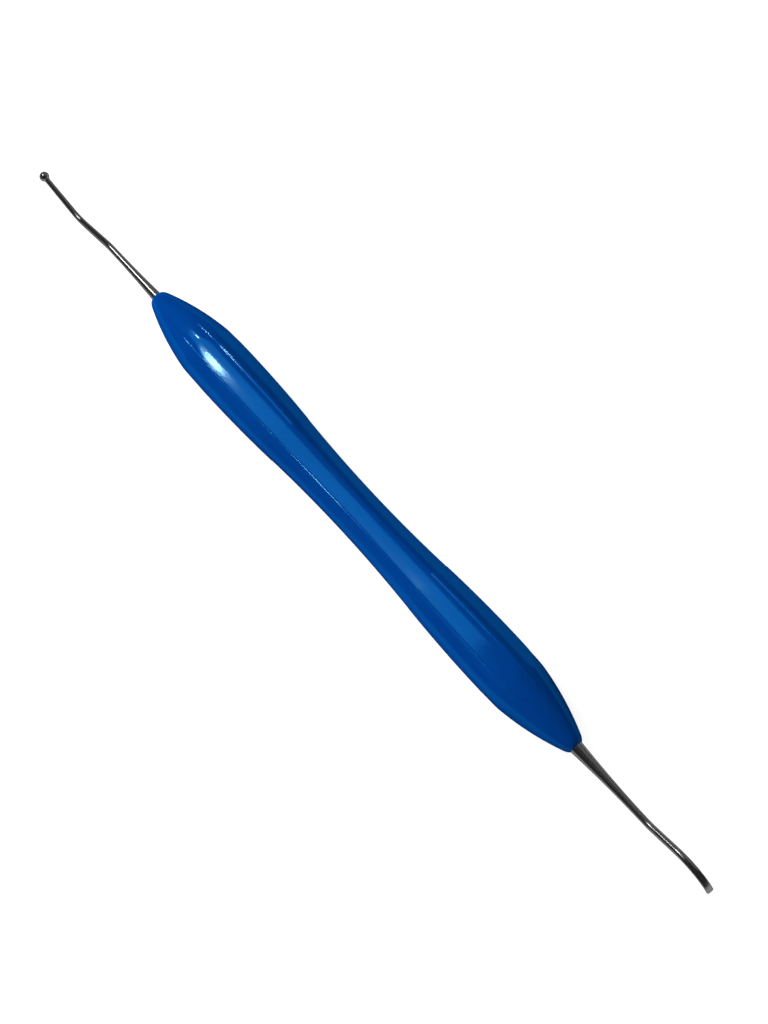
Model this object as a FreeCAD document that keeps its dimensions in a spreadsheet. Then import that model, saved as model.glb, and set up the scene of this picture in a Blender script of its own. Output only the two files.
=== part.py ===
"""Retraction cord packer: a double-ended dental hand instrument.

A moulded, dumb-bell shaped octagonal handle holds a steel working end in a blind socket at each end.
The handle lies along X and rests on the facet that faces down; Z is up and the unit is the millimetre.
One working end dips and rises again to a small round disc, the other rises and curls down to a flat paddle.
"""

import FreeCAD, Part
import math
import os
import Sketcher

from FreeCAD import Placement, Rotation, Vector

LEFT = -1
RIGHT = 1
UP = 1
DOWN = -1
FULL_TURN = 360
START = 0.0
END = 1.0
TOUCHING = 0.001
NEAR_SURFACE = 0.8

# Driving dimensions in millimetres, and degrees for the angles.
SIZES = {
    "handle_length": 110.0,
    "waist_diameter": 8.64,
    "lobe_swell": 1.24,
    "flats_width": 8.26,
    "flats_swell": 1.13,
    "lobe_from_end": 20.5,
    "lobe_reach": 16.5,
    "nose_curve": 52.0,
    "nose_end_diameter": 3.1,
    "nose_round": 1.0,
    "facet_count": 8.0,
    "facet_reach": 10.0,
    "rib_sweep": 4.6,
    "rib_height": 0.07,
    "rib_root": 1.2,
    "rib_from_end": 11.0,
    "tang_length": 15.0,
    "tang_gap": 0.02,
    "roll_angle": 6.0,
    "disc_tang_diameter": 1.60,
    "disc_exit_diameter": 1.86,
    "disc_bend_diameter": 1.20,
    "disc_neck_diameter": 0.95,
    "disc_shank_length": 12.8,
    "disc_dip_angle": 20.0,
    "disc_dip_radius": 5.0,
    "disc_dip_length": 8.1,
    "disc_rise_angle": 40.0,
    "disc_rise_radius": 5.0,
    "disc_neck_length": 8.1,
    "disc_diameter": 1.8,
    "disc_thickness": 1.8,
    "disc_flare": 0.8,
    "paddle_tang_diameter": 2.20,
    "paddle_exit_diameter": 2.45,
    "paddle_bend_diameter": 1.25,
    "paddle_shank_length": 16.3,
    "paddle_rise_angle": 21.0,
    "paddle_rise_radius": 5.0,
    "paddle_rise_length": 5.95,
    "paddle_curl_angle": 81.0,
    "paddle_curl_radius": 6.4,
    "paddle_width": 1.50,
    "paddle_thickness": 0.50,
    "paddle_corner": 0.35,
}


def make_sheet(doc):
    sheet = doc.addObject("Spreadsheet::Sheet", "sizes")
    for row, (name, value) in enumerate(SIZES.items(), start=1):
        sheet.set(f"A{row}", name)
        sheet.set(f"B{row}", str(value))
        sheet.setAlias(f"B{row}", name)
    row = len(SIZES) + 1
    sheet.set(f"A{row}", "middle")
    sheet.set(f"B{row}", "0")
    sheet.setAlias(f"B{row}", "middle")
    doc.recompute()
    return sheet


def origin_item(body, role):
    """One of the body's own origin planes or axes."""
    return next(item for item in body.Origin.OriginFeatures if item.Role == role)


def new_sketch(body, name, role="XZ_Plane"):
    """An empty sketch that lies flat on one of the body's origin planes."""
    sketch = body.newObject("Sketcher::SketchObject", name)
    sketch.AttachmentSupport = [(origin_item(body, role), "")]
    sketch.MapMode = "FlatFace"
    return sketch


def line(sketch, start, end, helper=False):
    return sketch.addGeometry(Part.LineSegment(Vector(*start, 0), Vector(*end, 0)), helper)


def arc(sketch, centre, start, end):
    """The shorter arc about a centre between two points."""
    first = math.atan2(start[1] - centre[1], start[0] - centre[0])
    last = math.atan2(end[1] - centre[1], end[0] - centre[0])
    if (last - first) % (2 * math.pi) > math.pi:
        first, last = last, first
    circle = Part.Circle(Vector(*centre, 0), Vector(0, 0, 1), math.dist(centre, start))
    return sketch.addGeometry(Part.ArcOfCircle(circle, first, last), False)


def is_arc(sketch, index):
    return isinstance(sketch.Geometry[index], Part.ArcOfCircle)


def join(sketch, first, second, smooth):
    """Joins two pieces at their nearest ends: without a corner if smooth."""
    ends = [(sketch.getPoint(first, a).distanceToPoint(sketch.getPoint(second, b)), a, b)
            for a in (1, 2) for b in (1, 2)]
    _, a, b = min(ends)
    kind = "Tangent" if smooth else "Coincident"
    sketch.addConstraint(Sketcher.Constraint(kind, first, a, second, b))


def close_wire(sketch, pieces):
    """Joins the pieces in a ring; arcs run into each other without a corner."""
    for first, second in zip(pieces, pieces[1:] + pieces[:1]):
        join(sketch, first, second, is_arc(sketch, first) and is_arc(sketch, second))


def bind(sketch, constraint, name, formula):
    """Adds a named dimension that follows the sheet."""
    index = sketch.addConstraint(constraint)
    sketch.renameConstraint(index, name)
    sketch.setExpression(f"Constraints.{name}", formula)


def flip(point, side):
    return (side * point[0], point[1])


class SideCurve:
    """Side view of the handle: a hollow waist, two lobes and two noses, arcs that run into each other.

    It takes the height of the waist and the swell of the lobes; the lift moves the nose's end with them.
    """

    def __init__(self, sheet, waist, swell, lift=0.0):
        half = sheet.handle_length / 2
        crest = half - sheet.lobe_from_end
        span = (crest**2 + swell**2) / (2 * swell)
        self.lobe_radius = span * sheet.lobe_reach / crest
        self.waist_radius = span - self.lobe_radius
        self.nose_radius = sheet.nose_curve
        self.waist_centre = (0.0, waist + self.waist_radius)
        self.lobe_centre = (crest, waist + swell - self.lobe_radius)
        share = self.waist_radius / span
        drop = self.waist_centre[1] - self.lobe_centre[1]
        self.turn_point = (crest * share, self.waist_centre[1] - drop * share)
        self.end_point = (half, sheet.nose_end_diameter / 2 + lift)
        self.nose_centre = self.find_nose_centre()
        reach = self.lobe_radius / (self.lobe_radius - self.nose_radius)
        self.nose_point = tuple(c + (n - c) * reach for c, n in zip(self.lobe_centre, self.nose_centre))
        rim = sheet.nose_round
        inner = self.nose_radius - rim
        rim_x = half - rim
        self.rim_centre = (rim_x, self.nose_centre[1] + math.sqrt(inner**2 - (rim_x - self.nose_centre[0])**2))
        reach = self.nose_radius / inner
        self.rim_point = tuple(c + (r - c) * reach for c, r in zip(self.nose_centre, self.rim_centre))

    def find_nose_centre(self):
        """The nose arc ends in the end point and leaves the lobe's arc without a corner."""
        dx = self.end_point[0] - self.lobe_centre[0]
        dz = self.end_point[1] - self.lobe_centre[1]
        gap = math.hypot(dx, dz)
        inner = self.lobe_radius - self.nose_radius
        along = (inner**2 - self.nose_radius**2 + gap**2) / (2 * gap)
        across = math.sqrt(inner**2 - along**2)
        return (self.lobe_centre[0] + (along * dx - across * dz) / gap,
                self.lobe_centre[1] + (along * dz + across * dx) / gap)

    def on_nose(self, x):
        return (x, self.nose_centre[1] + math.sqrt(self.nose_radius**2 - (x - self.nose_centre[0])**2))

    def on_lobe(self, x):
        return (x, self.lobe_centre[1] + math.sqrt(self.lobe_radius**2 - (x - self.lobe_centre[0])**2))


def draw_outline(sketch, sheet):
    """Half section of the plain round handle, turned about X."""
    curve = SideCurve(sheet, sheet.waist_diameter / 2, sheet.lobe_swell)
    half = sheet.handle_length / 2
    face_height = curve.rim_centre[1]
    waist = arc(sketch, curve.waist_centre, flip(curve.turn_point, LEFT), curve.turn_point)
    axis = line(sketch, (-half, 0), (half, 0))
    ring = {}
    for side in (LEFT, RIGHT):
        lobe = arc(sketch, flip(curve.lobe_centre, side), flip(curve.turn_point, side), flip(curve.nose_point, side))
        nose = arc(sketch, flip(curve.nose_centre, side), flip(curve.nose_point, side), flip(curve.rim_point, side))
        edge = (side * half, face_height)
        rim = arc(sketch, flip(curve.rim_centre, side), flip(curve.rim_point, side), edge)
        face = line(sketch, edge, (side * half, 0))
        ring[side] = [lobe, nose, rim, face]
    close_wire(sketch, [waist] + ring[RIGHT] + [axis] + ring[LEFT][::-1])
    sketch.addConstraint(Sketcher.Constraint("Horizontal", axis))
    sketch.addConstraint(Sketcher.Constraint("PointOnObject", axis, 1, -1))
    for side, tag in ((LEFT, "left"), (RIGHT, "right")):
        lobe, nose, rim, face = ring[side]
        sketch.addConstraint(Sketcher.Constraint("Vertical", face))
        bind(sketch, Sketcher.Constraint("Radius", rim, sheet.nose_round), f"rim_{tag}", "sizes.nose_round")
        bind(sketch, Sketcher.Constraint("Radius", nose, curve.nose_radius), f"nose_{tag}", "sizes.nose_curve")
    bind(sketch, Sketcher.Constraint("Distance", axis, 2 * half), "length", "sizes.handle_length")


def draw_facet(sketch, sheet):
    """Everything above one facet, seen from the side: the facet is flat across the handle."""
    curve = SideCurve(sheet, sheet.flats_width / 2, sheet.flats_swell)
    end = curve.on_lobe(curve.lobe_centre[0] + sheet.facet_reach)
    top = sheet.waist_diameter
    waist = arc(sketch, curve.waist_centre, flip(curve.turn_point, LEFT), curve.turn_point)
    lobes = {side: arc(sketch, flip(curve.lobe_centre, side), flip(curve.turn_point, side), flip(end, side))
             for side in (LEFT, RIGHT)}
    walls = {side: line(sketch, flip(end, side), (side * end[0], top)) for side in (LEFT, RIGHT)}
    roof = line(sketch, (-end[0], top), (end[0], top))
    close_wire(sketch, [waist, lobes[RIGHT], walls[RIGHT], roof, walls[LEFT], lobes[LEFT]])
    sketch.addConstraint(Sketcher.Constraint("Horizontal", roof))
    bind(sketch, Sketcher.Constraint("DistanceY", -1, 1, roof, 1, top), "roof", "sizes.waist_diameter")


def draw_ribs(sketch, sheet):
    """The rib of each lobe, from where the waist turns into the lobe to where the nose is plain."""
    curve = SideCurve(sheet, sheet.waist_diameter / 2 + sheet.rib_height, sheet.lobe_swell, sheet.rib_height)
    end = curve.on_nose(curve.end_point[0] - sheet.rib_from_end)
    root = curve.turn_point[1] - sheet.rib_root
    for side, tag in ((LEFT, "left"), (RIGHT, "right")):
        lobe = arc(sketch, flip(curve.lobe_centre, side), flip(curve.turn_point, side), flip(curve.nose_point, side))
        nose = arc(sketch, flip(curve.nose_centre, side), flip(curve.nose_point, side), flip(end, side))
        outer = line(sketch, flip(end, side), (side * end[0], root))
        floor = line(sketch, (side * end[0], root), (side * curve.turn_point[0], root))
        inner = line(sketch, (side * curve.turn_point[0], root), flip(curve.turn_point, side))
        close_wire(sketch, [lobe, nose, outer, floor, inner])
        sketch.addConstraint(Sketcher.Constraint("Horizontal", floor))
        sketch.addConstraint(Sketcher.Constraint("Vertical", outer))
        bind(sketch, Sketcher.Constraint("Radius", nose, curve.nose_radius), f"nose_{tag}", "sizes.nose_curve")


def draw_sockets(sketch, sheet):
    """Half sections of the two blind sockets that hold the tangs."""
    half = sheet.handle_length / 2
    for side, end in ((LEFT, "disc"), (RIGHT, "paddle")):
        radius = getattr(sheet, f"{end}_tang_diameter") / 2 + sheet.tang_gap
        deep = side * (half - sheet.tang_length)
        mouth = side * (half + sheet.nose_round)
        corners = [(deep, 0), (deep, radius), (mouth, radius), (mouth, 0)]
        sides = [line(sketch, a, b) for a, b in zip(corners, corners[1:] + corners[:1])]
        close_wire(sketch, sides)
        sketch.addConstraint(Sketcher.Constraint("Vertical", sides[0]))
        sketch.addConstraint(Sketcher.Constraint("Horizontal", sides[1]))
        sketch.addConstraint(Sketcher.Constraint("PointOnObject", sides[0], 1, -1))
        bind(sketch, Sketcher.Constraint("Distance", sides[0], radius), f"{end}_radius",
             f"sizes.{end}_tang_diameter / 2 + sizes.tang_gap")


def direction(slope):
    """Unit vector in the side view, for a slope in degrees."""
    return (math.cos(math.radians(slope)), math.sin(math.radians(slope)))


class BentPath:
    """Side view of a working end's centre line: straight runs and tangent arcs, from the handle outward."""

    def __init__(self, sketch, side, start):
        self.sketch = sketch
        self.side = side
        self.point = start
        self.slope = 0.0
        self.pieces = []

    def put(self, piece):
        self.pieces.append(piece)
        if len(self.pieces) > 1:
            join(self.sketch, self.pieces[-2], piece, smooth=True)

    def run(self, size):
        """A straight run whose length is the named size."""
        length = SIZES[size]
        step = direction(self.slope)
        end = (self.point[0] + length * step[0], self.point[1] + length * step[1])
        piece = line(self.sketch, flip(self.point, self.side), flip(end, self.side))
        self.put(piece)
        bind(self.sketch, Sketcher.Constraint("Distance", piece, length), size, f"sizes.{size}")
        self.point = end

    def bend(self, name, up):
        """An arc of the named radius and angle that lifts the path, or lowers it if up is negative."""
        radius = SIZES[f"{name}_radius"]
        angle = math.copysign(SIZES[f"{name}_angle"], up)
        turned = math.copysign(radius, angle)
        before = direction(self.slope)
        centre = (self.point[0] - turned * before[1], self.point[1] + turned * before[0])
        self.slope += angle
        after = direction(self.slope)
        end = (centre[0] + turned * after[1], centre[1] - turned * after[0])
        piece = arc(self.sketch, flip(centre, self.side), flip(self.point, self.side), flip(end, self.side))
        self.put(piece)
        bind(self.sketch, Sketcher.Constraint("Radius", piece, radius), f"{name}_radius", f"sizes.{name}_radius")
        self.point = end


def draw_shank(sketch, sheet, end, side):
    """Half section of the tang in its socket and of the straight shank, hollowed to a slim end."""
    tang = getattr(sheet, f"{end}_tang_diameter") / 2
    thick = getattr(sheet, f"{end}_exit_diameter") / 2
    thin = getattr(sheet, f"{end}_bend_diameter") / 2
    length = getattr(sheet, f"{end}_shank_length")
    hollow = (length**2 + (thick - thin)**2) / (2 * (thick - thin))
    inner = side * -sheet.tang_length
    tip = side * length
    floor = line(sketch, (inner, 0), (inner, tang))
    wall = line(sketch, (inner, tang), (0, tang))
    step = line(sketch, (0, tang), (0, thick))
    flank = arc(sketch, (tip, thin + hollow), (0, thick), (tip, thin))
    last = line(sketch, (tip, thin), (tip, 0))
    axis = line(sketch, (tip, 0), (inner, 0))
    close_wire(sketch, [floor, wall, step, flank, last, axis])
    sketch.addConstraint(Sketcher.Constraint("Vertical", floor))
    sketch.addConstraint(Sketcher.Constraint("Horizontal", wall))
    sketch.addConstraint(Sketcher.Constraint("PointOnObject", wall, 2, -2))
    sketch.addConstraint(Sketcher.Constraint("PointOnObject", step, 2, -2))
    sketch.addConstraint(Sketcher.Constraint("Vertical", last))
    sketch.addConstraint(Sketcher.Constraint("PointOnObject", axis, 1, -1))
    sketch.addConstraint(Sketcher.Constraint("PointOnObject", axis, 2, -1))
    bind(sketch, Sketcher.Constraint("Distance", floor, tang), "tang_radius", f"sizes.{end}_tang_diameter / 2")
    bind(sketch, Sketcher.Constraint("Distance", wall, sheet.tang_length), "tang_length", "sizes.tang_length")
    bind(sketch, Sketcher.Constraint("Distance", last, thin), "thin_radius", f"sizes.{end}_bend_diameter / 2")


def shifted(point, slope, along, out):
    """A point moved along a slope and square to it."""
    step = direction(slope)
    return (point[0] + along * step[0] - out * step[1], point[1] + along * step[1] + out * step[0])


def tangent_centre(start, slope, end):
    """Centre of the arc that leaves the start along a slope and passes through the end."""
    step = direction(slope)
    chord = (end[0] - start[0], end[1] - start[1])
    out = chord[1] * step[0] - chord[0] * step[1]
    radius = (chord[0]**2 + chord[1]**2) / (2 * out)
    return (start[0] - radius * step[1], start[1] + radius * step[0])


def draw_flats(sketch, sheet, before, after):
    """What is ground off above and below the paddle: both faces leave the round bar without a step."""
    stock = sheet.paddle_bend_diameter / 2
    thin = sheet.paddle_thickness / 2
    clear = sheet.paddle_width
    for face in (1, -1):
        start = shifted(*before, 0, face * stock)
        end = shifted(*after, 0, face * thin)
        far_start = shifted(*before, 0, face * (stock + clear))
        far_end = shifted(*after, 0, face * (stock + clear))
        ground = arc(sketch, tangent_centre(start, before[1], end), start, end)
        outer = arc(sketch, tangent_centre(far_start, before[1], far_end), far_start, far_end)
        first = line(sketch, far_start, start)
        last = line(sketch, end, far_end)
        close_wire(sketch, [ground, last, outer, first])


def draw_round(sketch, diameter, formula):
    """A round section about the sketch's own centre."""
    circle = sketch.addGeometry(Part.Circle(Vector(0, 0, 0), Vector(0, 0, 1), diameter / 2), False)
    sketch.addConstraint(Sketcher.Constraint("Coincident", circle, 3, -1, 1))
    bind(sketch, Sketcher.Constraint("Diameter", circle, diameter), "diameter", formula)


def set_square(item, path, edge, route, point):
    """Sets an item square to an edge of the path, at the end of that edge that lies at the point."""
    place_on_side = flip(point, route.side)
    curve = path.Shape.Edges[edge - 1]
    start = curve.valueAt(curve.FirstParameter)
    item.AttachmentSupport = [(path, f"Edge{edge}")]
    item.MapMode = "NormalToEdge"
    item.MapPathParameter = START if math.dist((start.x, start.z), place_on_side) < TOUCHING else END


def section_on(body, name, path, edge, route, point, size):
    """A round section at one end of an edge of the path."""
    sketch = body.newObject("Sketcher::SketchObject", name)
    set_square(sketch, path, edge, route, point)
    draw_round(sketch, SIZES[size], f"sizes.{size}")
    return sketch


def sweep(body, name, path, edges, first, last):
    """A round bar along the path that tapers from the first section to the last."""
    pipe = body.newObject("PartDesign::AdditivePipe", name)
    pipe.Profile = first
    pipe.Spine = (path, [f"Edge{i}" for i in edges])
    pipe.Sections = [(last, [""])]
    pipe.Transformation = "Multisection"
    return pipe


def turn(body, kind, name, sketch, axis="H_Axis", angle=None):
    """A revolution or groove of a sketch; with an angle it spreads to both sides of the sketch."""
    feature = body.newObject(f"PartDesign::{kind}", name)
    feature.Profile = sketch
    feature.ReferenceAxis = (sketch, [axis])
    if angle:
        feature.Midplane = True
        feature.setExpression("Angle", angle)
    else:
        feature.Angle = FULL_TURN
    return feature


def cut_across(body, name, sketch, length):
    """Cuts a side view straight across the piece, half of the length to each side."""
    cut = body.newObject("PartDesign::Pocket", name)
    cut.Profile = sketch
    cut.SideType = "Symmetric"
    cut.setExpression("Length", length)
    return cut


def repeat(body, name, feature):
    """Repeats a feature about X, once for each facet."""
    pattern = body.newObject("PartDesign::PolarPattern", name)
    pattern.Originals = [feature]
    pattern.Axis = (origin_item(body, "X_Axis"), [""])
    pattern.Angle = FULL_TURN
    pattern.setExpression("Occurrences", "sizes.facet_count")
    body.Tip = pattern
    return pattern


def round_edges(body, name, base, picked, radius):
    """Rounds the edges of the base feature that the picked test accepts."""
    body.Document.recompute()
    edges = [f"Edge{i}" for i, edge in enumerate(base.Shape.Edges, start=1) if picked(edge)]
    fillet = body.newObject("PartDesign::Fillet", name)
    fillet.Base = (base, edges)
    fillet.setExpression("Radius", radius)
    return fillet


def place(body, turned, x_formula, z_formula):
    """Puts a piece at its place, turned about X."""
    body.Placement = Placement(Vector(0, 0, 0), Rotation(Vector(-1, 0, 0), 1))
    body.setExpression("Placement.Rotation.Angle", turned)
    body.setExpression("Placement.Base.x", x_formula)
    body.setExpression("Placement.Base.z", z_formula)


def build_handle(doc, sheet):
    body = doc.addObject("PartDesign::Body", "Handle")
    body.Label = "handle"
    outline = new_sketch(body, "Outline")
    draw_outline(outline, sheet)
    turn(body, "Revolution", "Blank", outline)
    facet_sketch = new_sketch(body, "FacetSide")
    draw_facet(facet_sketch, sheet)
    facet = cut_across(body, "Facet", facet_sketch, "2 * sizes.waist_diameter")
    repeat(body, "Facets", facet)
    rib_sketch = new_sketch(body, "RibSide")
    rib_sketch.AttachmentOffset = Placement(Vector(0, 0, 0), Rotation(Vector(1, 0, 0), 1))
    rib_sketch.setExpression("AttachmentOffset.Rotation.Angle", "180 / sizes.facet_count")
    draw_ribs(rib_sketch, sheet)
    rib = turn(body, "Revolution", "Rib", rib_sketch, "H_Axis", "sizes.rib_sweep")
    repeat(body, "Ribs", rib)
    socket_sketch = new_sketch(body, "SocketSide")
    draw_sockets(socket_sketch, sheet)
    turn(body, "Groove", "Sockets", socket_sketch)
    return body


def new_end(doc, sheet, end, side):
    """A working end's body, with its tang and straight shank."""
    body = doc.addObject("PartDesign::Body", f"{end.title()}End")
    body.Label = f"{end}_end"
    shank = new_sketch(body, "ShankSide")
    draw_shank(shank, sheet, end, side)
    turn(body, "Revolution", "Shank", shank)
    return body


def build_disc_end(doc, sheet):
    """The slim end: it dips below the handle's line, rises again and ends in a small lens-shaped disc."""
    body = new_end(doc, sheet, "disc", LEFT)
    path = new_sketch(body, "Path")
    route = BentPath(path, LEFT, (sheet.disc_shank_length, 0))
    root = route.point
    route.bend("disc_dip", DOWN)
    route.run("disc_dip_length")
    route.bend("disc_rise", UP)
    route.run("disc_neck_length")
    doc.recompute()
    first = section_on(body, "NeckStart", path, 1, route, root, "disc_bend_diameter")
    last = section_on(body, "NeckEnd", path, 4, route, route.point, "disc_neck_diameter")
    sweep(body, "Neck", path, [1, 2, 3, 4], first, last)
    disc = body.newObject("PartDesign::AdditiveEllipsoid", "Disc")
    set_square(disc, path, 4, route, route.point)
    disc.setExpression("Radius1", "sizes.disc_diameter / 2")
    disc.setExpression("Radius2", "sizes.disc_diameter / 2")
    disc.setExpression("Radius3", "sizes.disc_thickness / 2")
    centre = flip(route.point, LEFT)

    def where_neck_meets(edge):
        away = math.dist((edge.CenterOfMass.x, edge.CenterOfMass.z), centre)
        return NEAR_SURFACE * sheet.disc_diameter / 2 < away < sheet.disc_diameter / 2

    round_edges(body, "Flare", disc, where_neck_meets, "sizes.disc_flare")
    return body


def build_paddle_end(doc, sheet):
    """The stout end: it rises and curls down into a flat paddle, ground from the round bar."""
    body = new_end(doc, sheet, "paddle", RIGHT)
    path = new_sketch(body, "Path")
    route = BentPath(path, RIGHT, (sheet.paddle_shank_length, 0))
    root = route.point
    route.bend("paddle_rise", UP)
    route.run("paddle_rise_length")
    before = (route.point, route.slope)
    route.bend("paddle_curl", DOWN)
    after = (route.point, route.slope)
    doc.recompute()
    first = section_on(body, "NeckStart", path, 1, route, root, "paddle_bend_diameter")
    last = section_on(body, "NeckEnd", path, 2, route, before[0], "paddle_bend_diameter")
    sweep(body, "Neck", path, [1, 2], first, last)
    root = section_on(body, "BladeStart", path, 3, route, before[0], "paddle_bend_diameter")
    tip = section_on(body, "BladeEnd", path, 3, route, after[0], "paddle_width")
    sweep(body, "Blade", path, [3], root, tip)
    flats = new_sketch(body, "FlatSides")
    draw_flats(flats, sheet, before, after)
    cut = cut_across(body, "Flats", flats, "2 * sizes.paddle_width")

    def tip_side(edge):
        away = math.dist((edge.CenterOfMass.x, edge.CenterOfMass.z), after[0])
        return away < sheet.paddle_thickness / 2 and abs(edge.CenterOfMass.y) > sheet.paddle_width / 3

    round_edges(body, "Corners", cut, tip_side, "sizes.paddle_corner")
    return body


def place_all(doc, sheet, handle, disc_end, paddle_end):
    """Sets the ends in their sockets and the whole on the table, with the origin under its middle."""
    height = "sizes.flats_width / 2 + sizes.flats_swell"
    place(handle, "0", "-sizes.middle", height)
    place(disc_end, "sizes.roll_angle", "-sizes.middle - sizes.handle_length / 2", height)
    place(paddle_end, "sizes.roll_angle", "-sizes.middle + sizes.handle_length / 2", height)
    doc.recompute()
    reach = [body.Shape.optimalBoundingBox() for body in (disc_end, paddle_end)]
    row = len(SIZES) + 1
    sheet.set(f"B{row}", str((reach[0].XMin + reach[1].XMax) / 2))
    doc.recompute()


def check(doc, bodies):
    """Stops if any object failed or any piece is not a sound solid."""
    for item in doc.Objects:
        if "Invalid" in item.State or "Error" in item.State:
            raise RuntimeError(f"{item.Name} failed: {item.State}")
    for body in bodies:
        if body.Shape.isNull() or not body.Shape.isValid() or len(body.Shape.Solids) != 1:
            raise RuntimeError(f"{body.Label} is not one sound solid")


def main():
    doc = FreeCAD.newDocument("cord_packer")
    sheet = make_sheet(doc)
    bodies = [build_handle(doc, sheet), build_disc_end(doc, sheet), build_paddle_end(doc, sheet)]
    place_all(doc, sheet, *bodies)
    check(doc, bodies)
    os.makedirs("parts", exist_ok=True)
    for body in bodies:
        body.Shape.exportStep(f"parts/{body.Label}.step")
        print(body.Label, round(body.Shape.Volume, 2), len(body.Shape.Faces), body.Shape.optimalBoundingBox())


main()
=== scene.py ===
import math

import bmesh
import bpy
from bpy.props import FloatProperty, FloatVectorProperty, IntProperty, PointerProperty
from bpy.types import Operator, Panel, PropertyGroup
from mathutils import Matrix, Vector


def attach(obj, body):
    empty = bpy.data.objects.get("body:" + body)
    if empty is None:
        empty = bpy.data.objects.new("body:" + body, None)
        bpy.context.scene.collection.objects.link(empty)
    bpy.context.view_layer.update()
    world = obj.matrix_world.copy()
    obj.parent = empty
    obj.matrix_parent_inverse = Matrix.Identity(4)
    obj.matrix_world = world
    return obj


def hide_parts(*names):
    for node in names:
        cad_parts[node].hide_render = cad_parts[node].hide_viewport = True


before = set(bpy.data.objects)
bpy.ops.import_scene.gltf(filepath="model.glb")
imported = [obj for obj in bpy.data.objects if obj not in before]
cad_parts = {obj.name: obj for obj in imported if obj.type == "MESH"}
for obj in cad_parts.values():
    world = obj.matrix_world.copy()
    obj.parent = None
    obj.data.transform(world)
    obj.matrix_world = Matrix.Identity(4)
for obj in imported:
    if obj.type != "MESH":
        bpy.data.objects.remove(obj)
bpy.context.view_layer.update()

bl_info = {
    "name": "Retraction Cord Packer",
    "version": (1, 0, 0),
    "blender": (4, 5, 0),
    "location": "View3D > Sidebar > Cord Packer",
    "description": "Builds a double-ended dental cord packer with a faceted plastic handle and steel ends",
    "category": "Object",
}

MM = 0.001
LEFT = -1
RIGHT = 1
# Height of the handle's axis over the floor, and where the instrument's middle lies along the handle
LIFT = 5.26 * MM
MIDDLE = -1.177 * MM
# Points round each section of a steel end, and the angle past which an edge is shown sharp
AROUND = 48
SHARP = math.radians(40)
# An outline that gives fewer faces than this wasn't turned
LEAST_FACES = 1000


def size(name, text, default):
    """A length in metres, given in millimetres."""
    return FloatProperty(name=name, description=text, default=default * MM, unit="LENGTH", precision=5)


def angle(name, text, default):
    return FloatProperty(name=name, description=text, default=math.radians(default), unit="ROTATION")


def colour(name, text, default):
    return FloatVectorProperty(name=name, description=text, default=default, subtype="COLOR", size=3,
                               min=0, max=1)


class HandleSizes(PropertyGroup):
    length: size("Length", "Length of the plastic handle", 110)
    waist: size("Waist", "Diameter over the corners in the middle", 8.64)
    swell: size("Swell", "How far the lobes stand out beyond the waist", 1.24)
    flats: size("Flats", "Width across the facets in the middle", 8.26)
    flats_swell: size("Flats Swell", "How far the facets of the lobes stand out beyond the waist", 1.13)
    lobe_from_end: size("Lobe From End", "From the end of the handle to the fullest place", 20.5)
    lobe_reach: size("Lobe Reach", "From the fullest place to where the waist begins", 16.5)
    nose_curve: size("Nose Curve", "Radius of the long curve of the nose", 52)
    nose_end: size("Nose End", "Diameter of the end of the nose", 3.1)
    nose_round: size("Nose Round", "Rounding of the end of the nose", 1.0)
    facets: IntProperty(name="Facets", description="Number of lengthwise facets", default=8, min=3)
    facet_crown: size("Facet Crown", "How far below the axis a facet's crown is centred", 12)
    rib_height: size("Rib Height", "How far a rib stands out of its corner", 0.07)
    rib_sweep: angle("Rib Sweep", "Width of a rib as an angle about the handle", 4.6)
    rib_from_end: size("Rib From End", "From the end of the handle to the end of a rib", 11)
    socket: size("Socket Depth", "Depth of the socket that holds a steel end", 15)
    disc_bore: size("Ball End Bore", "Diameter of the socket of the ball end", 1.64)
    paddle_bore: size("Paddle End Bore", "Diameter of the socket of the paddle end", 2.24)


class DiscSizes(PropertyGroup):
    tang: size("Tang", "Diameter inside the handle", 1.6)
    exit: size("Exit", "Diameter where the shank leaves the handle", 1.86)
    bar: size("Bar", "Diameter at the first bend", 1.2)
    neck: size("Neck", "Diameter behind the ball", 0.95)
    shank: size("Shank", "Length of the straight shank", 12.8)
    dip: angle("Dip", "Angle of the first bend", 20)
    dip_run: size("Dip Run", "Length of the run that dips", 8.1)
    rise: angle("Rise", "Angle of the second bend", 40)
    neck_run: size("Neck Run", "Length of the run that rises to the ball", 8.1)
    bend: size("Bend Radius", "Radius of both bends", 5)
    ball: size("Ball", "Diameter of the ball", 1.8)
    flare: size("Flare", "Radius of the hollow between neck and ball", 0.8)
    roll: angle("Roll", "How far the bends are turned about the handle's axis", 6)


class PaddleSizes(PropertyGroup):
    tang: size("Tang", "Diameter inside the handle", 2.2)
    exit: size("Exit", "Diameter where the shank leaves the handle", 2.45)
    bar: size("Bar", "Diameter at the first bend", 1.25)
    shank: size("Shank", "Length of the straight shank", 16.3)
    rise: angle("Rise", "Angle of the first bend", 21)
    rise_run: size("Rise Run", "Length of the run that rises", 5.95)
    bend: size("Bend Radius", "Radius of the first bend", 5)
    curl: angle("Curl", "Angle through which the paddle curls down", 81)
    curl_radius: size("Curl Radius", "Radius of the curl", 6.4)
    width: size("Width", "Width of the paddle at its end", 1.3)
    thickness: size("Thickness", "Thickness of the paddle at its end", 0.5)
    corner: size("Corner", "Rounding of the paddle's corners", 0.35)
    roll: angle("Roll", "How far the bends are turned about the handle's axis", 6)


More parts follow.
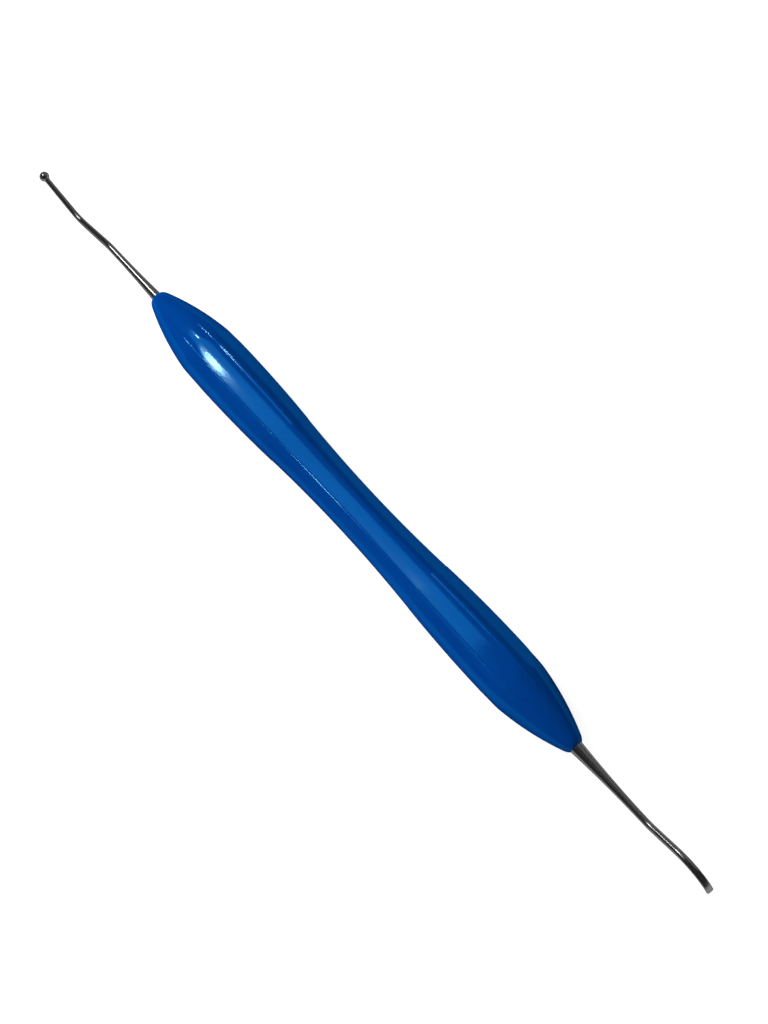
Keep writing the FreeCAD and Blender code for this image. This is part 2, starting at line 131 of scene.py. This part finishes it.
class Finishes(PropertyGroup):
    plastic: colour("Plastic", "Blue of the moulded handle", (0.0006, 0.060, 0.33))
    plastic_deep: colour("Deep Plastic", "Blue of the handle's darker streaks", (0.0004, 0.050, 0.29))
    gloss: colour("Gloss", "Colour of the reflections in the plastic's skin", (0.02, 0.39, 0.95))
    gloss_edge: colour("Gloss Edge", "Tint of the skin's glancing reflections", (0.0, 0.06, 0.40))
    steel: colour("Steel", "Colour of the steel ends", (0.25, 0.25, 0.25))
    steel_dark: colour("Dark Steel", "Colour of the fine lines in the steel", (0.15, 0.15, 0.15))
    steel_edge: colour("Steel Edge", "Tint of the steel's glancing reflections", (0.0, 0.0, 0.0))
    floor: colour("Floor", "Colour of the floor", (0.35, 0.35, 0.35))


class StageSizes(PropertyGroup):
    distance: FloatProperty(name="Camera Distance", description="From the handle's middle to the camera",
                            default=0.4, unit="LENGTH")
    lens: FloatProperty(name="Lens", description="Focal length in millimetres", default=82.59)
    lean: angle("Lean", "How far the camera leans along the handle", 18.16)
    tip: angle("Tip", "How far the camera leans across the handle", 4)
    turn: angle("Turn", "How far the picture is turned", 47.03)
    shift_x: FloatProperty(name="Shift X", description="How far the picture moves sideways", default=0.02556)
    shift_y: FloatProperty(name="Shift Y", description="How far the picture moves upward", default=0.00063)
    floor: FloatProperty(name="Floor", description="Radius of the floor", default=3.0, unit="LENGTH")


class Term:
    """A socket in a node tree; sums on terms add Math nodes."""

    def __init__(self, net, socket):
        self.net = net
        self.socket = socket

    def sum(self, operation, *others):
        values = dict(enumerate((self,) + others))
        return self.net.node(self.net.math, {"operation": operation}, values)

    def __add__(self, other):
        return self.sum("ADD", other)

    __radd__ = __add__

    def __mul__(self, other):
        return self.sum("MULTIPLY", other)

    __rmul__ = __mul__

    def __sub__(self, other):
        return self.sum("SUBTRACT", other)

    def __rsub__(self, other):
        return self * -1 + other

    def __truediv__(self, other):
        return self.sum("DIVIDE", other)

    def root(self):
        return self.sum("SQRT")

    def limited(self):
        """Held between nought and one."""
        return self.sum("MAXIMUM", 0.0).sum("MINIMUM", 1.0)


class Net:
    """Adds nodes to one tree."""

    math = "ShaderNodeMath"

    def __init__(self, tree):
        self.tree = tree
        tree.nodes.clear()

    def node(self, kind, settings=None, values=None, out=0):
        """Adds a node: its settings first, then the values or links of its sockets."""
        item = self.tree.nodes.new(kind)
        for name, value in (settings or {}).items():
            setattr(item, name, value)
        for key, value in (values or {}).items():
            socket = item.inputs[key]
            if isinstance(value, Term):
                self.tree.links.new(value.socket, socket)
            else:
                socket.default_value = value
        return Term(self, item.outputs[out]) if item.outputs else item


def arc_points(centre, radius, first, last, count):
    """Points on an arc from one angle to another, in degrees, both ends included."""
    steps = [math.radians(first + (last - first) * i / count) for i in range(count + 1)]
    return [(centre[0] + radius * math.cos(a), centre[1] + radius * math.sin(a)) for a in steps]


class SideLine:
    """Side view of the handle, over its corners or its facets: a waist, two lobes and two noses."""

    def __init__(self, sizes, waist, swell):
        self.half = sizes.length / 2
        self.crest = self.half - sizes.lobe_from_end
        span = (self.crest**2 + swell**2) / (2 * swell)
        self.lobe_radius = span * sizes.lobe_reach / self.crest
        self.waist_radius = span - self.lobe_radius
        self.waist_z = waist / 2 + self.waist_radius
        self.lobe_z = waist / 2 + swell - self.lobe_radius
        self.turn_x = self.crest * self.waist_radius / span
        self.nose_radius = sizes.nose_curve
        end = (self.half - self.crest, sizes.nose_end / 2 - self.lobe_z)
        gap = math.hypot(*end)
        inner = self.lobe_radius - self.nose_radius
        along = (inner**2 - self.nose_radius**2 + gap**2) / (2 * gap)
        across = math.sqrt(inner**2 - along**2)
        self.nose_x = self.crest + (along * end[0] - across * end[1]) / gap
        self.nose_z = self.lobe_z + (along * end[1] + across * end[0]) / gap
        self.nose_from = self.crest + (self.nose_x - self.crest) * self.lobe_radius / inner

    def long(self, x):
        """The waist and the lobes, carried on past the nose."""
        x = abs(x)
        if x < self.turn_x:
            return self.waist_z - math.sqrt(self.waist_radius**2 - x**2)
        return self.lobe_z + math.sqrt(self.lobe_radius**2 - (x - self.crest)**2)

    def body(self, x):
        x = abs(x)
        if x < self.nose_from:
            return self.long(x)
        return self.nose_z + math.sqrt(self.nose_radius**2 - (x - self.nose_x)**2)


def nose_end_points(line, sizes, bore):
    """From the socket's bottom along its wall, over the rounded mouth and nose to the long curve."""
    deep = line.half - sizes.socket
    lip = 0.08 * MM
    points = [(deep, 0.0), (deep, bore / 2)]
    steps = 10
    points += [(deep + (line.half - lip - deep) * i / steps, bore / 2) for i in range(1, steps)]
    points += arc_points((line.half - lip, bore / 2 + lip), lip, -90, 0, 4)
    rim = sizes.nose_end / 2
    reach = sizes.nose_round * 0.55
    start = (line.half, rim - reach)
    end_x = line.half - sizes.nose_round
    end = (end_x, line.body(end_x))
    corner = (line.half, rim - 0.05 * MM)
    for i in range(steps + 1):
        t = i / steps
        pairs = zip(start, corner, end)
        points.append(tuple((1 - t)**2 * a + 2 * t * (1 - t) * b + t**2 * c for a, b, c in pairs))
    return points, end_x


def handle_stations(end_x, stops):
    """Places along the long curves, close together where the ribs stop."""
    step = 0.42 * MM
    cleared = 0.4 * MM
    parts = 8
    count = int(2 * end_x / step)
    places = [-end_x + 2 * end_x * i / count for i in range(1, count)]
    for stop in stops:
        for side in (LEFT, RIGHT):
            places = [x for x in places if abs(x - side * stop) > cleared]
            places += [side * stop + step * k / parts for k in range(1 - parts, parts)]
    return sorted(places)


def handle_line_mesh(sizes):
    """The half outline of the handle as a row of points that carry the facet's height and the rib's share."""
    line = SideLine(sizes, sizes.waist, sizes.swell)
    flats = SideLine(sizes, sizes.flats, sizes.flats_swell)
    rib_inner = line.turn_x
    rib_outer = line.half - sizes.rib_from_end
    left, end_x = nose_end_points(line, sizes, sizes.disc_bore)
    right, _ = nose_end_points(line, sizes, sizes.paddle_bore)
    points = [(-x, r) for x, r in left]
    first = len(points)
    points += [(x, line.body(x)) for x in handle_stations(end_x, (rib_inner, rib_outer))]
    last = len(points)
    points += right[::-1]
    mesh = bpy.data.meshes.new("handle_line")
    mesh.from_pydata([(x, 0, r) for x, r in points], [], [])
    facet = mesh.attributes.new("facet_height", "FLOAT", "POINT")
    rib = mesh.attributes.new("rib_share", "FLOAT", "POINT")
    slope = 0.12 * MM
    for i, (x, r) in enumerate(points):
        facet.data[i].value = flats.long(x) if first <= i < last else 1.0
        inside = min(abs(x) - rib_inner, rib_outer - abs(x)) / slope
        rib.data[i].value = min(max(inside, 0), 1) if first <= i < last else 0.0
    return mesh


def handle_tree(sizes, points, material):
    """Geometry Nodes: turns the outline about X with crowned facets and a rib on each corner."""
    tree = bpy.data.node_groups.new("faceted_handle", "GeometryNodeTree")
    sockets = [("Geometry", "NodeSocketGeometry", None),
               ("Facets", "NodeSocketInt", sizes.facets),
               ("Facet Crown", "NodeSocketFloat", sizes.facet_crown),
               ("Corner Blend", "NodeSocketFloat", 0.05 * MM),
               ("Rib Height", "NodeSocketFloat", sizes.rib_height),
               ("Rib Sweep", "NodeSocketFloat", sizes.rib_sweep),
               ("Steps", "NodeSocketInt", 30),
               ("Points", "NodeSocketInt", points)]
    for name, kind, _ in sockets:
        tree.interface.new_socket(name, in_out="INPUT", socket_type=kind)
    tree.interface.new_socket("Geometry", in_out="OUTPUT", socket_type="NodeSocketGeometry")
    net = Net(tree)
    given = net.tree.nodes.new("NodeGroupInput")
    part = {name: Term(net, given.outputs[name]) for name, _, _ in sockets}
    columns = part["Facets"] * part["Steps"] + 1
    grid = net.node("GeometryNodeMeshGrid", None, {"Vertices X": part["Points"], "Vertices Y": columns})
    index = net.node("GeometryNodeInputIndex")
    row = (index / columns + 0.0001).sum("FLOOR")
    column = index - row * columns

    def carried(name, kind):
        field = net.node("GeometryNodeInputNamedAttribute", {"data_type": kind}, {"Name": name})
        return net.node("GeometryNodeSampleIndex", {"data_type": kind, "domain": "POINT"},
                        {"Geometry": part["Geometry"], "Value": field, "Index": row})

    place = carried("position", "FLOAT_VECTOR")
    split = net.node("ShaderNodeSeparateXYZ", None, {0: place})
    x = split
    r = Term(net, split.socket.node.outputs[2])
    facet = carried("facet_height", "FLOAT")
    rib = carried("rib_share", "FLOAT")
    turn = column / part["Steps"]
    number = turn.sum("FLOOR")
    share = (turn - number) * 2 - 1
    period = (part["Facets"] * (1 / math.pi)).sum("POWER", -1.0)
    local = (share * (math.pi / 2)).sum("SINE") * period
    crown = part["Facet Crown"]
    flat = crown + facet
    sine = local.sum("SINE")
    cosine = local.sum("COSINE")
    cut = (flat * flat - crown * crown * sine * sine).sum("MAXIMUM", 0.0).root() - crown * cosine
    body = r.sum("SMOOTH_MIN", cut, part["Corner Blend"])
    past = (period - local.sum("ABSOLUTE")) / (part["Rib Sweep"] * 0.5)
    bump = (1 - past * past * past * past).limited()
    reach = body + bump * rib * part["Rib Height"]
    around = number * 2 * period + local
    y = reach * around.sum("SINE")
    z = reach * around.sum("COSINE")
    position = net.node("ShaderNodeCombineXYZ", None, {0: x, 1: y, 2: z})
    moved = net.node("GeometryNodeSetPosition", None, {"Geometry": grid, "Position": position})
    merged = net.node("GeometryNodeMergeByDistance", None, {"Geometry": moved, "Distance": 1e-6})
    smooth = net.node("GeometryNodeSetShadeSmooth", None, {"Geometry": merged})
    real = net.node("GeometryNodeRealizeInstances", None, {"Geometry": smooth})
    done = net.node("GeometryNodeSetMaterial", None, {"Geometry": real, "Material": material})
    net.node("NodeGroupOutput", None, {0: done})
    return tree, {name: value for name, _, value in sockets if value is not None}


def grown(name, mesh, tree, given):
    """Runs a tree on a mesh with its named inputs and keeps the plain result."""
    base = bpy.data.objects.new(name + "_line", mesh)
    bpy.context.scene.collection.objects.link(base)
    modifier = base.modifiers.new("shape", "NODES")
    modifier.node_group = tree
    for item in tree.interface.items_tree:
        if item.in_out == "INPUT" and item.name in given:
            modifier[item.identifier] = given[item.name]
    bpy.context.view_layer.update()
    result = bpy.data.meshes.new_from_object(base.evaluated_get(bpy.context.evaluated_depsgraph_get()))
    base.modifiers.remove(modifier)
    bpy.data.objects.remove(base)
    return result


def add_piece(name, mesh, node, material):
    """Links a finished mesh as the piece that stands for a node."""
    form = bmesh.new()
    form.from_mesh(mesh)
    bmesh.ops.recalc_face_normals(form, faces=form.faces)
    form.to_mesh(mesh)
    form.free()
    mesh.materials.clear()
    mesh.materials.append(material)
    mesh.shade_smooth()
    mesh.set_sharp_from_angle(angle=SHARP)
    piece = bpy.data.objects.new(name, mesh)
    bpy.context.scene.collection.objects.link(piece)
    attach(piece, "root")
    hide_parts(node)


def plastic_material(finish):
    """Moulded plastic: blue under a thin glossy skin, with faint flow streaks along the handle."""
    material = bpy.data.materials.new("blue_plastic")
    material.use_nodes = True
    net = Net(material.node_tree)
    spot = net.node("ShaderNodeTexCoord", out=3)
    long = net.node("ShaderNodeMapping", None, {"Vector": spot, "Scale": (60, 420, 420)})
    streak = net.node("ShaderNodeTexNoise", None,
                      {"Vector": long, "Scale": 1.0, "Detail": 5.0, "Roughness": 0.55})
    flow = ((streak - 0.35) * 2.2).limited()
    shade = net.node("ShaderNodeMix", {"data_type": "RGBA"},
                     {0: flow, 6: (*finish.plastic_deep, 1), 7: (*finish.plastic, 1)}, out=2)
    uneven = net.node("ShaderNodeTexNoise", None, {"Vector": spot, "Scale": 900.0, "Detail": 3.0})
    fine = net.node("ShaderNodeTexNoise", None, {"Vector": spot, "Scale": 5200.0, "Detail": 2.0})
    bump = net.node("ShaderNodeBump", None,
                    {"Strength": 0.10, "Distance": 0.00003, "Height": uneven + fine * 0.25})
    depth = net.node("ShaderNodeBsdfPrincipled", None,
                     {"Base Color": shade, "Roughness": 0.45, "Specular IOR Level": 0.0, "Normal": bump})
    gloss = net.node("ShaderNodeBsdfPrincipled", None,
                     {"Base Color": (*finish.gloss, 1), "Metallic": 1.0,
                      "Roughness": 0.064 + streak * 0.04 + fine * 0.02,
                      "Specular Tint": (*finish.gloss_edge, 1), "Normal": bump})
    surface = net.node("ShaderNodeMixShader", None, {0: 0.05 + streak * 0.015, 1: depth, 2: gloss})
    net.node("ShaderNodeOutputMaterial", None, {"Surface": surface})
    return material


def steel_material(finish):
    """Polished stainless steel with fine lines round the bar and a few along it."""
    material = bpy.data.materials.new("polished_steel")
    material.use_nodes = True
    net = Net(material.node_tree)
    spread = net.node("ShaderNodeUVMap", {"uv_map": "wrap"})
    rings = net.node("ShaderNodeMapping", None, {"Vector": spread, "Scale": (3, 9000, 1)})
    lines = net.node("ShaderNodeTexNoise", None,
                     {"Vector": rings, "Scale": 1.0, "Detail": 4.0, "Roughness": 0.6})
    lengthwise = net.node("ShaderNodeMapping", None, {"Vector": spread, "Scale": (90, 260, 1)})
    marks = net.node("ShaderNodeTexNoise", None, {"Vector": lengthwise, "Scale": 1.0, "Detail": 3.0})
    spot = net.node("ShaderNodeTexCoord", out=3)
    cloud = net.node("ShaderNodeTexNoise", None, {"Vector": spot, "Scale": 420.0, "Detail": 3.0})
    worn = (lines * 0.6 + marks * 0.4 - 0.3).limited()
    shade = net.node("ShaderNodeMix", {"data_type": "RGBA"},
                     {0: (worn * 1.8).limited(), 6: (*finish.steel_dark, 1), 7: (*finish.steel, 1)}, out=2)
    bump = net.node("ShaderNodeBump", None,
                    {"Strength": 0.12, "Distance": 0.00001, "Height": lines + marks * 0.4})
    gloss = 0.14 + cloud * 0.10 + lines * 0.06
    surface = net.node("ShaderNodeBsdfPrincipled", None,
                       {"Base Color": shade, "Roughness": gloss, "Normal": bump, "Metallic": 1.0,
                        "Specular Tint": (*finish.steel_edge, 1)})
    net.node("ShaderNodeOutputMaterial", None, {"Surface": surface})
    return material


class Route:
    """Side view of a steel end's middle line, followed from the handle outward, with its slope and length."""

    def __init__(self, start):
        self.point = (start, 0.0)
        self.slope = 0.0
        self.gone = 0.0
        self.stations = []

    def keep(self):
        self.stations.append((self.gone, self.point, self.slope))

    def straight(self, length, count):
        x, z = self.point
        begin = self.gone
        for i in range(1, count + 1):
            part = length * i / count
            self.point = (x + part * math.cos(self.slope), z + part * math.sin(self.slope))
            self.gone = begin + part
            self.keep()

    def bend(self, radius, turned, count):
        x, z = self.point
        begin, slope = self.gone, self.slope
        side = math.copysign(radius, turned)
        centre = (x - side * math.sin(slope), z + side * math.cos(slope))
        for i in range(1, count + 1):
            self.slope = slope + turned * i / count
            self.point = (centre[0] + side * math.sin(self.slope), centre[1] - side * math.cos(self.slope))
            self.gone = begin + abs(turned) * radius * i / count
            self.keep()


def ring(point, slope, width, height, power=2):
    """A closed section across the route: round at power 2 and squarer above it."""
    corners = []
    for i in range(AROUND):
        turn = 2 * math.pi * i / AROUND
        c, s = math.cos(turn), math.sin(turn)
        y = width * math.copysign(abs(c)**(2 / power), c)
        out = height * math.copysign(abs(s)**(2 / power), s)
        corners.append((point[0] - out * math.sin(slope), y, point[1] + out * math.cos(slope)))
    return corners


def skin(name, sections, lengths, side, roll):
    """Closed surface over the sections, with a map wrapped round it, turned to its side and set in place."""
    form = bmesh.new()
    rows = [[form.verts.new(p) for p in section] for section in sections]
    layer = form.loops.layers.uv.new("wrap")
    for i, (low, high) in enumerate(zip(rows, rows[1:])):
        for j in range(AROUND):
            k = (j + 1) % AROUND
            face = form.faces.new((low[j], low[k], high[k], high[j]))
            places = [(j, i), (j + 1, i), (j + 1, i + 1), (j, i + 1)]
            for loop, (a, b) in zip(face.loops, places):
                loop[layer].uv = (a / AROUND, lengths[b])
    for row, spot in ((rows[0], 0), (rows[-1], len(rows) - 1)):
        middle = form.verts.new(sum((v.co for v in row), Vector()) / AROUND)
        for j in range(AROUND):
            face = form.faces.new((row[j], row[(j + 1) % AROUND], middle))
            for loop, a in zip(face.loops, (j, j + 1, j + 0.5)):
                loop[layer].uv = (a / AROUND, lengths[spot])
    mirror = Matrix.Diagonal((side, 1, 1, 1))
    turned = Matrix.Rotation(-roll, 4, "X")
    moved = Matrix.Translation((-MIDDLE, 0, LIFT))
    form.transform(moved @ turned @ mirror)
    mesh = bpy.data.meshes.new(name)
    form.to_mesh(mesh)
    form.free()
    return mesh


def taper(length, thick, thin, place):
    """Radius of the shank that is hollowed from its thick to its thin end."""
    hollow = (length**2 + (thick - thin)**2) / (2 * (thick - thin))
    return thin + hollow - math.sqrt(hollow**2 - (length - place)**2)


def shank_sections(handle, sizes):
    """Tang in the handle and straight shank up to the first bend."""
    half = handle.length / 2
    sections, lengths = [], []
    tang = sizes.tang / 2
    bottom = half - handle.socket
    # The tang stops just short of the socket's bottom and of the handle's end face
    for x in (bottom + 0.02 * MM, bottom + 0.1 * MM, half - 6 * MM, half - 0.1 * MM, half - 0.001 * MM):
        sections.append(ring((x, 0), 0, tang, tang))
        lengths.append(x - half)
    steps = 40
    for i in range(steps + 1):
        place = sizes.shank * i / steps
        radius = taper(sizes.shank, sizes.exit / 2, sizes.bar / 2, place)
        sections.append(ring((half + place, 0), 0, radius, radius))
        lengths.append(place)
    return sections, lengths


class CORDPACKER_OT_handle(Operator):
    """Builds the faceted plastic handle with its ribs and sockets"""
    bl_idname = "cord_packer.handle"
    bl_label = "Handle"

    def execute(self, context):
        sizes = context.scene.cord_packer_handle
        mesh = handle_line_mesh(sizes)
        material = plastic_material(context.scene.cord_packer_finish)
        tree, given = handle_tree(sizes, len(mesh.vertices), material)
        mesh = grown("grip", mesh, tree, given)
        if len(mesh.polygons) < LEAST_FACES:
            raise RuntimeError("the handle has no surface")
        mesh.transform(Matrix.Translation((-MIDDLE, 0, LIFT)))
        add_piece("grip", mesh, "handle", material)
        return {"FINISHED"}


class CORDPACKER_OT_disc_end(Operator):
    """Builds the slim steel end with the small ball"""
    bl_idname = "cord_packer.disc_end"
    bl_label = "Ball End"

    def execute(self, context):
        handle = context.scene.cord_packer_handle
        sizes = context.scene.cord_packer_disc
        sections, lengths = shank_sections(handle, sizes)
        route = Route(handle.length / 2 + sizes.shank)
        route.bend(sizes.bend, -sizes.dip, 14)
        route.straight(sizes.dip_run, 20)
        route.bend(sizes.bend, sizes.rise, 22)
        approach = 1.2 * MM
        route.straight(sizes.neck_run - approach, 20)
        total = route.gone + approach
        bar, neck = sizes.bar / 2, sizes.neck / 2
        for gone, point, slope in route.stations:
            radius = bar + (neck - bar) * gone / total
            sections.append(ring(point, slope, radius, radius))
            lengths.append(sizes.shank + gone)
        head = ball_line(neck, sizes.ball / 2, sizes.flare)
        base, slope, gone = route.point, route.slope, route.gone
        for along, radius in head:
            reach = approach + along
            point = (base[0] + reach * math.cos(slope), base[1] + reach * math.sin(slope))
            sections.append(ring(point, slope, radius, radius))
            lengths.append(sizes.shank + gone + reach)
        mesh = skin("disc_tip", sections, lengths, LEFT, sizes.roll)
        add_piece("disc_tip", mesh, "disc_end", steel_of(context))
        return {"FINISHED"}


def ball_line(neck, ball, flare):
    """Half outline of the ball and of the hollow that leads into it, about the ball's middle."""
    out = neck + flare
    back = math.sqrt((ball + flare)**2 - out**2)
    turned = math.degrees(math.atan2(out, back))
    points = arc_points((-back, out), flare, -90, -turned, 14)
    points += arc_points((0, 0), ball, 180 - turned, 0.3, 34)[1:]
    return points


def steel_of(context):
    """The steel that both ends share."""
    return bpy.data.materials.get("polished_steel") or steel_material(context.scene.cord_packer_finish)


class CORDPACKER_OT_paddle_end(Operator):
    """Builds the stout steel end with the curled paddle"""
    bl_idname = "cord_packer.paddle_end"
    bl_label = "Paddle End"

    def execute(self, context):
        handle = context.scene.cord_packer_handle
        sizes = context.scene.cord_packer_paddle
        sections, lengths = shank_sections(handle, sizes)
        route = Route(handle.length / 2 + sizes.shank)
        bar = sizes.bar / 2
        route.bend(sizes.bend, sizes.rise, 14)
        route.straight(sizes.rise_run, 20)
        for gone, point, slope in route.stations:
            sections.append(ring(point, slope, bar, bar))
            lengths.append(sizes.shank + gone)
        begin = len(route.stations)
        route.bend(sizes.curl_radius, -sizes.curl, 60)
        blade = route.stations[begin:]
        start, end = route.stations[begin - 1][0], blade[-1][0]
        edge = 0.16 * MM
        for gone, point, slope in blade:
            share = (gone - start) / (end - start)
            ease = share * share * (3 - 2 * share)
            width = bar + (sizes.width / 2 - bar) * share
            height = bar + (sizes.thickness / 2 - bar) * (1 - (1 - share)**1.5)
            left = end - gone
            if left < sizes.corner:
                width -= sizes.corner - math.sqrt(sizes.corner**2 - (sizes.corner - left)**2)
            if left < edge:
                height -= edge - math.sqrt(edge**2 - (edge - left)**2)
            sections.append(ring(point, slope, width, height, 2 + 1.6 * ease))
            lengths.append(sizes.shank + gone)
        mesh = skin("paddle_tip", sections, lengths, RIGHT, sizes.roll)
        add_piece("paddle_tip", mesh, "paddle_end", steel_of(context))
        return {"FINISHED"}


class CORDPACKER_OT_stage(Operator):
    """Sets the camera, the floor, the lamps and the world"""
    bl_idname = "cord_packer.stage"
    bl_label = "Stage"

    def execute(self, context):
        scene = context.scene
        sizes = scene.cord_packer_stage
        add_camera(scene, sizes)
        add_floor(scene, sizes, scene.cord_packer_finish)
        add_lamps(scene)
        world = bpy.data.worlds.new("studio")
        scene.world = world
        world.use_nodes = True
        net = Net(world.node_tree)
        grey = net.node("ShaderNodeBackground", None, {"Color": (1, 1, 1, 1), "Strength": 0.08})
        net.node("ShaderNodeOutputWorld", None, {"Surface": grey})
        scene.view_settings.view_transform = "Standard"
        return {"FINISHED"}


def add_camera(scene, sizes):
    """The camera looks down on the handle and is turned so that the handle runs from corner to corner."""
    target = Vector((-MIDDLE, 0, LIFT))
    x, y = math.sin(sizes.lean), -math.sin(sizes.tip)
    back = Vector((x, y, math.sqrt(1 - x * x - y * y)))
    along = (Vector((1, 0, 0)) - back * back.x).normalized()
    across = back.cross(along)
    right = along * math.cos(sizes.turn) + across * math.sin(sizes.turn)
    up = across * math.cos(sizes.turn) - along * math.sin(sizes.turn)
    data = bpy.data.cameras.new("view")
    data.lens = sizes.lens
    data.sensor_width = 36
    data.clip_start = 0.01
    data.clip_end = 20
    data.shift_x = sizes.shift_x
    data.shift_y = sizes.shift_y
    camera = bpy.data.objects.new("view", data)
    camera.matrix_world = Matrix((right, up, back)).transposed().to_4x4()
    camera.location = target + back * sizes.distance
    scene.collection.objects.link(camera)
    scene.camera = camera


def add_floor(scene, sizes, finish):
    """A white floor that keeps the object's shadow."""
    form = bmesh.new()
    bmesh.ops.create_circle(form, cap_ends=True, radius=sizes.floor, segments=96)
    mesh = bpy.data.meshes.new("floor")
    form.to_mesh(mesh)
    form.free()
    material = bpy.data.materials.new("floor_white")
    material.use_nodes = True
    net = Net(material.node_tree)
    path = net.tree.nodes.new("ShaderNodeLightPath")
    kinds = ("Is Camera Ray", "Is Glossy Ray", "Is Transmission Ray")
    rays = [Term(net, path.outputs[name]) for name in kinds]
    seen = (rays[0] + rays[1] + rays[2]).limited()
    spot = net.node("ShaderNodeTexCoord", out=3)
    grain = net.node("ShaderNodeTexNoise", None, {"Vector": spot, "Scale": 40.0, "Detail": 4.0})
    duller = tuple(c * 0.97 for c in finish.floor)
    shade = net.node("ShaderNodeMix", {"data_type": "RGBA"},
                     {0: grain, 6: (*finish.floor, 1), 7: (*duller, 1)}, out=2)
    matt = net.node("ShaderNodeBsdfDiffuse", None, {"Color": shade})
    glow = net.node("ShaderNodeEmission", None, {"Color": (1, 1, 1, 1), "Strength": seen * 0.88})
    both = net.node("ShaderNodeAddShader", None, {0: matt, 1: glow})
    net.node("ShaderNodeOutputMaterial", None, {"Surface": both})
    mesh.materials.append(material)
    floor = bpy.data.objects.new("floor", mesh)
    scene.collection.objects.link(floor)


def add_lamp(scene, name, distance, lean, tip, width, depth, radiance, gloss=True, body=True, only=None,
             shade=(1, 1, 1)):
    """A rectangular soft lamp; lean is its angle from the vertical along X, tip its angle across."""
    data = bpy.data.lights.new(name, "AREA")
    data.shape = "RECTANGLE"
    data.size = width
    data.size_y = depth
    data.energy = radiance * math.pi * width * depth
    x, y = math.tan(math.radians(lean)), math.tan(math.radians(tip))
    back = Vector((x, y, 1)).normalized()
    along = (Vector((1, 0, 0)) - back * back.x).normalized()
    across = back.cross(along)
    lamp = bpy.data.objects.new(name, data)
    lamp.matrix_world = Matrix((along, across, back)).transposed().to_4x4()
    lamp.location = Vector((0, 0, LIFT)) + back * distance
    data.color = shade
    if only:
        lamp.light_linking.receiver_collection = only
    lamp.visible_glossy = gloss
    lamp.visible_diffuse = body
    scene.collection.objects.link(lamp)


def add_lamps(scene):
    """Small bright lamps place the highlights of one material each, and broad soft ones light the rest."""
    grip = lit_alone("lit_grip", ("grip",))
    ends = lit_alone("lit_ends", ("disc_tip", "paddle_tip"))
    warm = (1, 0.100, 0.050)
    pale = (1, 0.18, 0.10)
    add_lamp(scene, "glint", 0.9, -25.8, -2.4, 0.038, 0.10, 850, body=False, only=grip, shade=warm)
    add_lamp(scene, "spark", 0.9, -39.5, 6.6, 0.08, 0.04, 1000, body=False, only=grip, shade=warm)
    add_lamp(scene, "line", 0.9, -15.2, -41, 0.05, 0.14, 220, body=False, only=grip, shade=pale)
    add_lamp(scene, "line_end", 0.9, -21.2, -41, 0.03, 0.14, 200, body=False, only=grip, shade=pale)
    add_lamp(scene, "end_glint", 0.9, -34, -1.3, 0.29, 0.15, 20, body=False, only=ends)
    add_lamp(scene, "end_side", 0.9, -8, 48, 1.4, 0.7, 0.38, body=False, only=ends)
    add_lamp(scene, "key", 0.9, -42, -12, 0.4, 0.4, 9.5, gloss=False)
    add_lamp(scene, "strip", 0.95, -29, -0.8, 0.56, 0.36, 2.4)
    add_lamp(scene, "fill", 1.2, 0, 0, 3, 3, 0.12, gloss=False)
    add_lamp(scene, "left", 0.8, -68, -6, 0.5, 0.5, 1.3, gloss=False)
    add_lamp(scene, "side", 0.8, -10, -62, 0.9, 0.5, 1.5, gloss=False)


def lit_alone(name, pieces):
    """A collection of the pieces that a lamp is kept to."""
    collection = bpy.data.collections.new(name)
    for piece in pieces:
        collection.objects.link(bpy.data.objects[piece])
    return collection


class CORDPACKER_PT_side(Panel):
    """Lists the pieces and the stage"""
    bl_idname = "CORDPACKER_PT_side"
    bl_label = "Cord Packer"
    bl_space_type = "VIEW_3D"
    bl_region_type = "UI"
    bl_category = "Cord Packer"

    def draw(self, context):
        for operator in OPERATORS:
            self.layout.operator(operator.bl_idname)
        for group in GROUPS:
            held = getattr(context.scene, group)
            for name in held.__annotations__:
                self.layout.prop(held, name)


OPERATORS = (CORDPACKER_OT_handle, CORDPACKER_OT_disc_end, CORDPACKER_OT_paddle_end, CORDPACKER_OT_stage)
GROUPS = {
    "cord_packer_handle": HandleSizes,
    "cord_packer_disc": DiscSizes,
    "cord_packer_paddle": PaddleSizes,
    "cord_packer_finish": Finishes,
    "cord_packer_stage": StageSizes,
}


def register():
    for item in (*GROUPS.values(), *OPERATORS, CORDPACKER_PT_side):
        bpy.utils.register_class(item)
    for name, group in GROUPS.items():
        setattr(bpy.types.Scene, name, PointerProperty(type=group))


def unregister():
    for name in GROUPS:
        delattr(bpy.types.Scene, name)
    for item in (CORDPACKER_PT_side, *reversed(OPERATORS), *GROUPS.values()):
        bpy.utils.unregister_class(item)


def main():
    register()
    bpy.ops.cord_packer.handle()
    bpy.ops.cord_packer.disc_end()
    bpy.ops.cord_packer.paddle_end()
    bpy.ops.cord_packer.stage()


if __name__ == "__main__":
    main()
